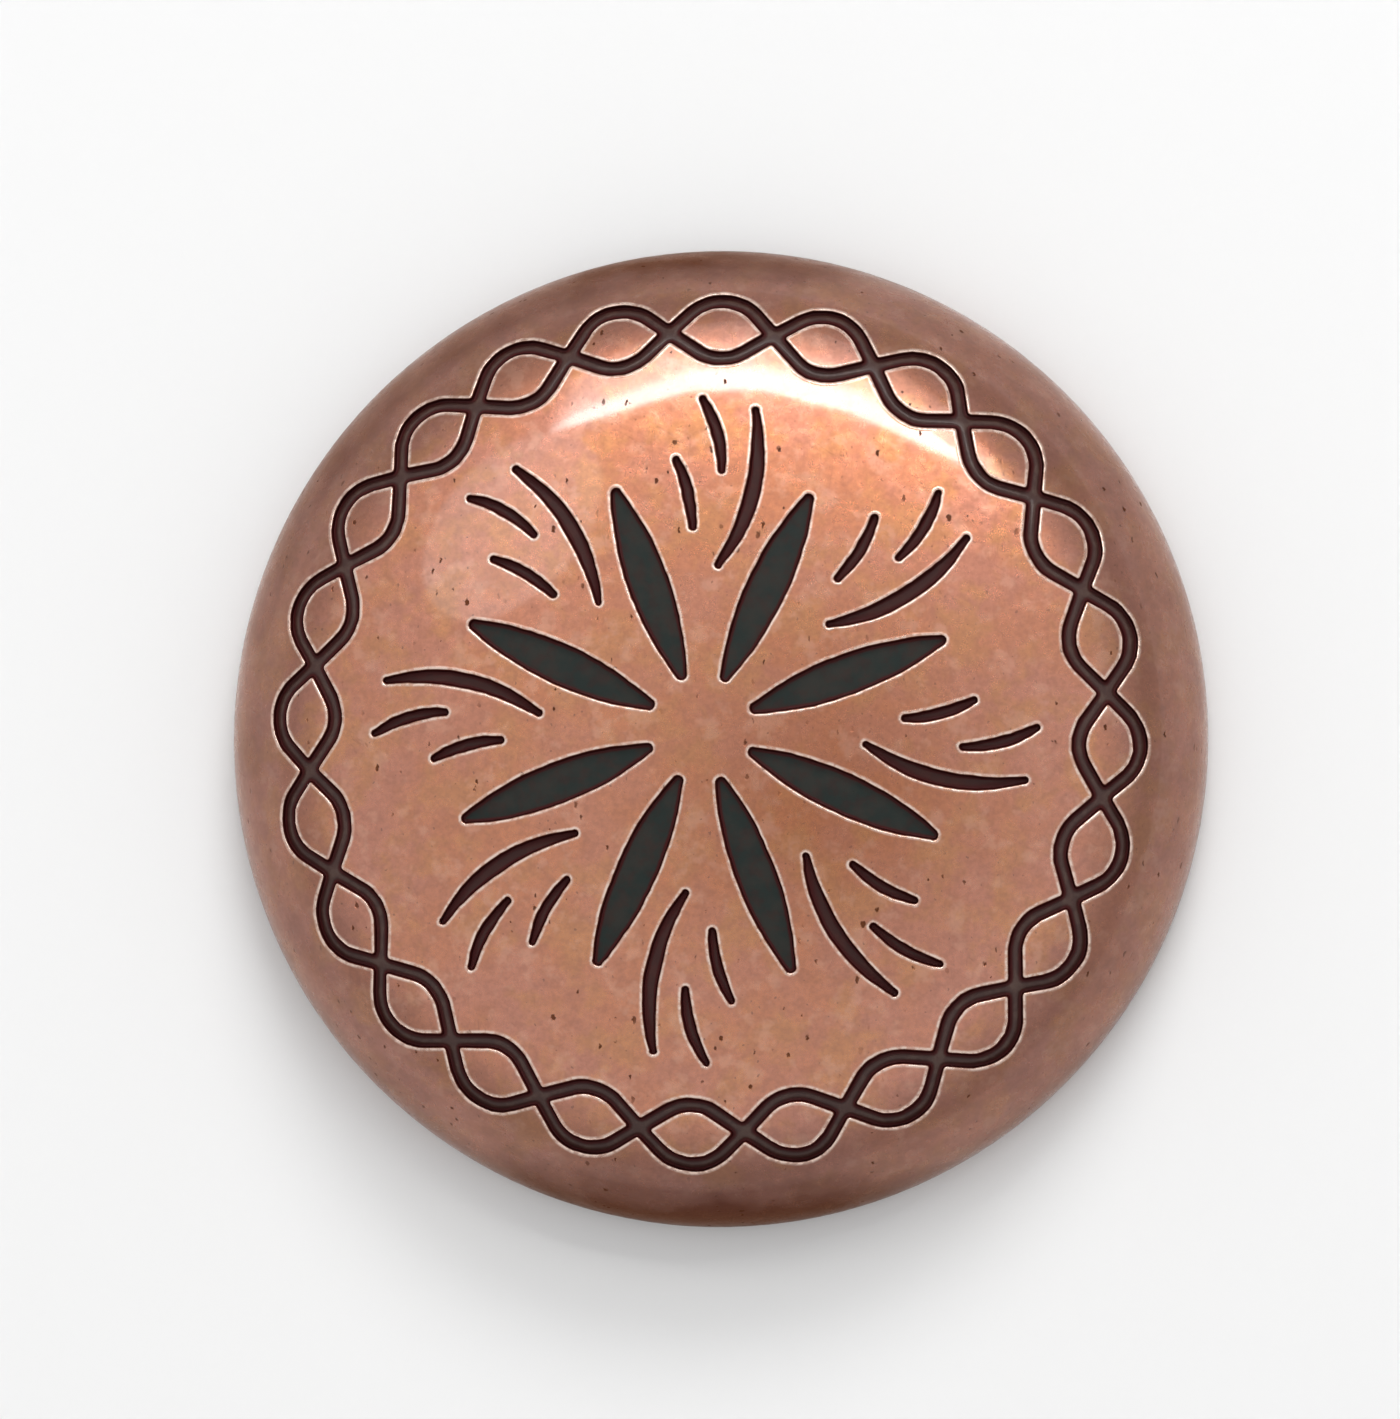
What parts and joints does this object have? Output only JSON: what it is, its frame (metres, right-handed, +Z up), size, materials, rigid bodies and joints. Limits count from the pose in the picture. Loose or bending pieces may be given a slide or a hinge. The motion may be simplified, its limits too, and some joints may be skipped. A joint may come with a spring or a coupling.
{
  "type": "concho",
  "caption": "Round domed concho with an engraved petal rosette, sweeping strokes and a double-wave border, hollow at the back with a threaded screw post.",
  "frame": {"origin": "centre of the rim's flat underside, which the concho stands on", "axes": "+Z up through the dome, +Y towards the top of the face as worn, +X to its right"},
  "size_m": [0.032, 0.032, 0.0069],
  "materials": {
    "antiqued_copper": "antiqued copper plate on a zinc casting, polished, with fine pits and scratches",
    "black_enamel": "semi-gloss black enamel in the recesses",
    "post_brass": "turned, satin"
  },
  "bodies": {
    "root": {"dome_shell": "antiqued_copper", "black_enamel": "black_enamel", "screw_post": "post_brass"}
  },
  "joints": []
}
